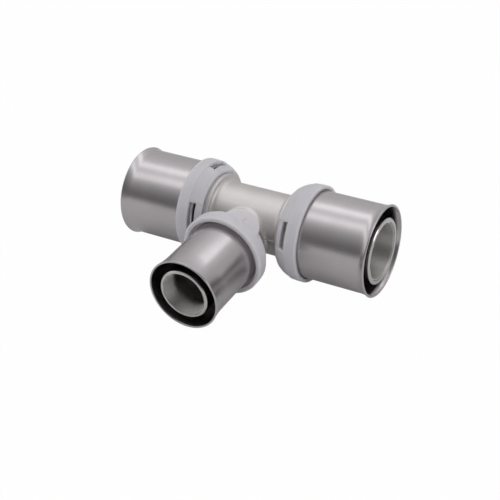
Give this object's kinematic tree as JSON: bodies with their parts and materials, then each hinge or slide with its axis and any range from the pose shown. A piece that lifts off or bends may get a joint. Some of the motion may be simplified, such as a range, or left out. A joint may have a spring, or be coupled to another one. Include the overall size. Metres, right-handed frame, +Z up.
{
  "type": "press fit fitting",
  "caption": "Reducing press tee for multilayer pipe: nickel-plated brass body with barbed nipples, O-rings, flared stainless press sleeves and grey windowed collars.",
  "frame": {"origin": "where the run's axis crosses the branch's axis, at the tee's centre", "axes": "+X along the run, to the right in the picture; -Y out of the branch, towards the viewer; +Z up, square to both axes"},
  "size_m": [0.1068, 0.0743, 0.0382],
  "materials": {
    "nickel_plated_brass": "satin nickel plating on forged and turned brass",
    "stainless_steel": "drawn stainless sheet, fine brushed",
    "collar_plastic": "moulded light grey plastic, soft sheen",
    "seal_rubber": "black moulded rubber"
  },
  "bodies": {
    "root": {"tee_body": "nickel_plated_brass", "sleeve_right": "stainless_steel", "collar_right": "collar_plastic", "oring_right_inner": "seal_rubber", "oring_right_outer": "seal_rubber", "sleeve_left": "stainless_steel", "collar_left": "collar_plastic", "oring_left_inner": "seal_rubber", "oring_left_outer": "seal_rubber", "sleeve_branch": "stainless_steel", "collar_branch": "collar_plastic", "oring_branch_inner": "seal_rubber", "oring_branch_outer": "seal_rubber"}
  },
  "joints": []
}
